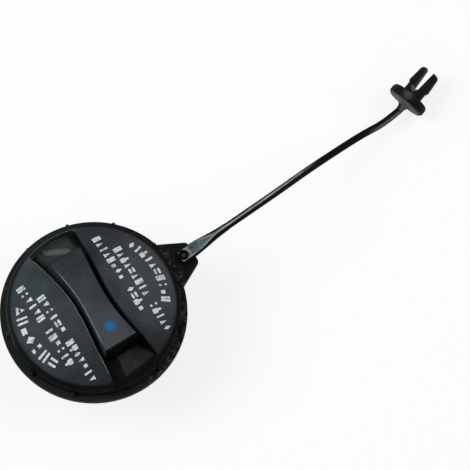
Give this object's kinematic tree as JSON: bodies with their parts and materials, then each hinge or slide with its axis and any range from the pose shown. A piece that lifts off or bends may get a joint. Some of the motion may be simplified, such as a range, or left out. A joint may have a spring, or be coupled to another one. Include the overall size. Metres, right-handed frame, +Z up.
{
  "type": "fuel filler cap",
  "caption": "Screw-in fuel filler cap with a waisted grip bar between two domed segments, ratchet drive, two-way vent valve, swivel ring and moulded tether with a push-in clip.",
  "frame": {"origin": "on the cap's axis at the plug's bottom edge, where the cap stands", "axes": "+Z up along the cap's axis towards the grip, +X towards the tether lug, +Y along the grip bar"},
  "size_m": [0.2192, 0.0778, 0.0535],
  "materials": {
    "grip_plastic": "moulded charcoal black, fine spark-eroded grain",
    "tether_plastic": "moulded black, satin",
    "strap_plastic": "moulded black, satin gloss",
    "plug_plastic": "moulded black, smooth",
    "inner_plastic": "natural acetal, off-white",
    "gasket_rubber": "black nitrile rubber",
    "valve_rubber": "soft black fluororubber",
    "spring_steel": "drawn stainless wire"
  },
  "bodies": {
    "closure": {"closure_body": "plug_plastic", "closure_lid": "inner_plastic", "neck_gasket": "gasket_rubber", "torque_ring": "inner_plastic", "valve_housing": "inner_plastic", "spring_cap": "inner_plastic", "pressure_spring": "spring_steel"},
    "grip": {"grip_shell": "grip_plastic", "lock_ring": "plug_plastic"},
    "tether_swivel": {"tether_ring": "tether_plastic"},
    "tether": {"tether_eyelet": "strap_plastic", "tether_strap": "strap_plastic", "push_clip": "strap_plastic"},
    "pressure_valve": {"valve_plate": "inner_plastic", "valve_seal": "valve_rubber", "vacuum_spring": "spring_steel"},
    "vacuum_valve": {"vacuum_poppet": "inner_plastic", "stem_clip": "inner_plastic"}
  },
  "joints": [
    {"name": "grip_turn", "type": "hinge", "parent": "closure", "child": "grip", "pos_m": [0, 0, 0.036], "axis": [0, 0, 1], "range_deg": [-360, 0], "deforming": ["torque_ring"]},
    {"name": "ring_swivel", "type": "hinge", "parent": "grip", "child": "tether_swivel", "pos_m": [0, 0, 0.0328], "axis": [0, 0, 1], "continuous": true},
    {"name": "tether_pivot", "type": "hinge", "parent": "tether_swivel", "child": "tether", "pos_m": [0.044, 0, 0.0355], "axis": [0, 0, 1], "range_deg": [-103, 96]},
    {"name": "pressure_lift", "type": "slide", "parent": "closure", "child": "pressure_valve", "axis": [0, 0, 1], "range_m": [0, 0.0025], "stiffness_N_per_m": 400, "springref_m": -0.001, "deforming": ["pressure_spring"]},
    {"name": "vacuum_drop", "type": "slide", "parent": "pressure_valve", "child": "vacuum_valve", "axis": [0, 0, -1], "range_m": [0, 0.002], "stiffness_N_per_m": 80, "springref_m": -0.002, "deforming": ["vacuum_spring"]}
  ]
}
